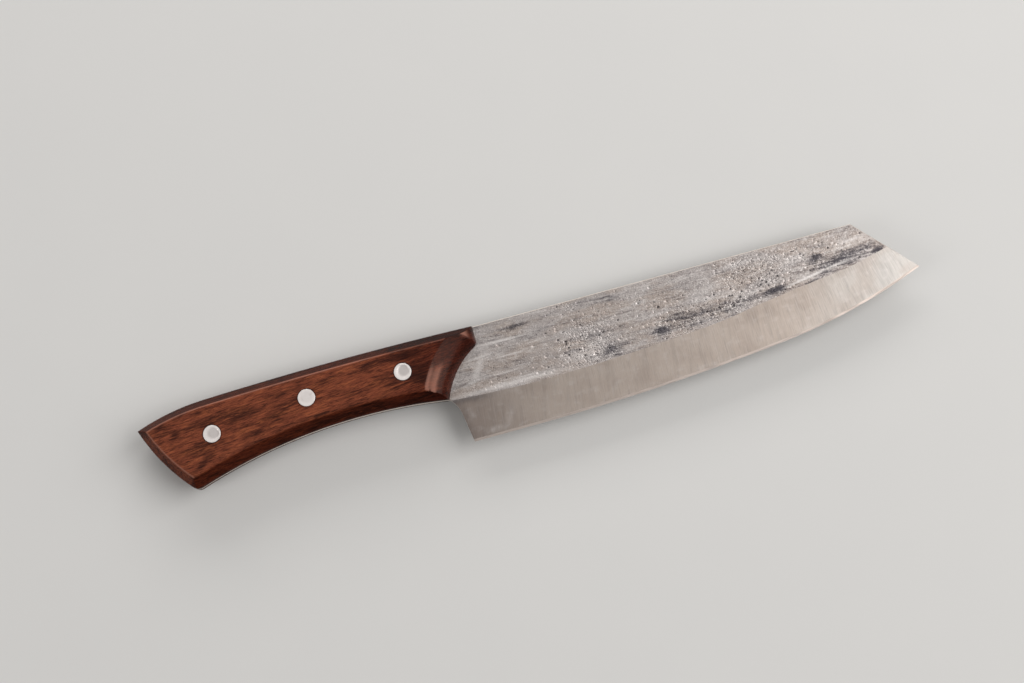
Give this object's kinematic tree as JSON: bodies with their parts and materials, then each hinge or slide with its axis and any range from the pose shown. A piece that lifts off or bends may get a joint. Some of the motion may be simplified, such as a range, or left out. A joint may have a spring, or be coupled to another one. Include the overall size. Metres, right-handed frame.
{
  "type": "kiritsuke kitchen knife",
  "caption": "Kitchen knife with an angled kiritsuke tip, a wide-bevelled forged blade on a full tang, and riveted faceted wooden handle scales.",
  "frame": {"origin": "centre of the knife's bounding box in X and Y, on the plane of the left scale's flat side", "axes": "+X along the knife from butt to tip, +Y from the cutting edge to the spine, +Z out of the knife's right side"},
  "size_m": [0.299, 0.0428, 0.017],
  "materials": {
    "forged_steel": "forged pear-skin flats above a satin ground bevel",
    "rosewood": "dark red-brown, oiled to a semi-gloss, grain along the handle",
    "rivet_steel": "satin"
  },
  "bodies": {
    "root": {"blade": "forged_steel", "right_scale": "rosewood", "left_scale": "rosewood", "front_rivet_sleeve": "rivet_steel", "front_rivet_pin": "rivet_steel", "middle_rivet_sleeve": "rivet_steel", "middle_rivet_pin": "rivet_steel", "rear_rivet_sleeve": "rivet_steel", "rear_rivet_pin": "rivet_steel"}
  },
  "joints": []
}
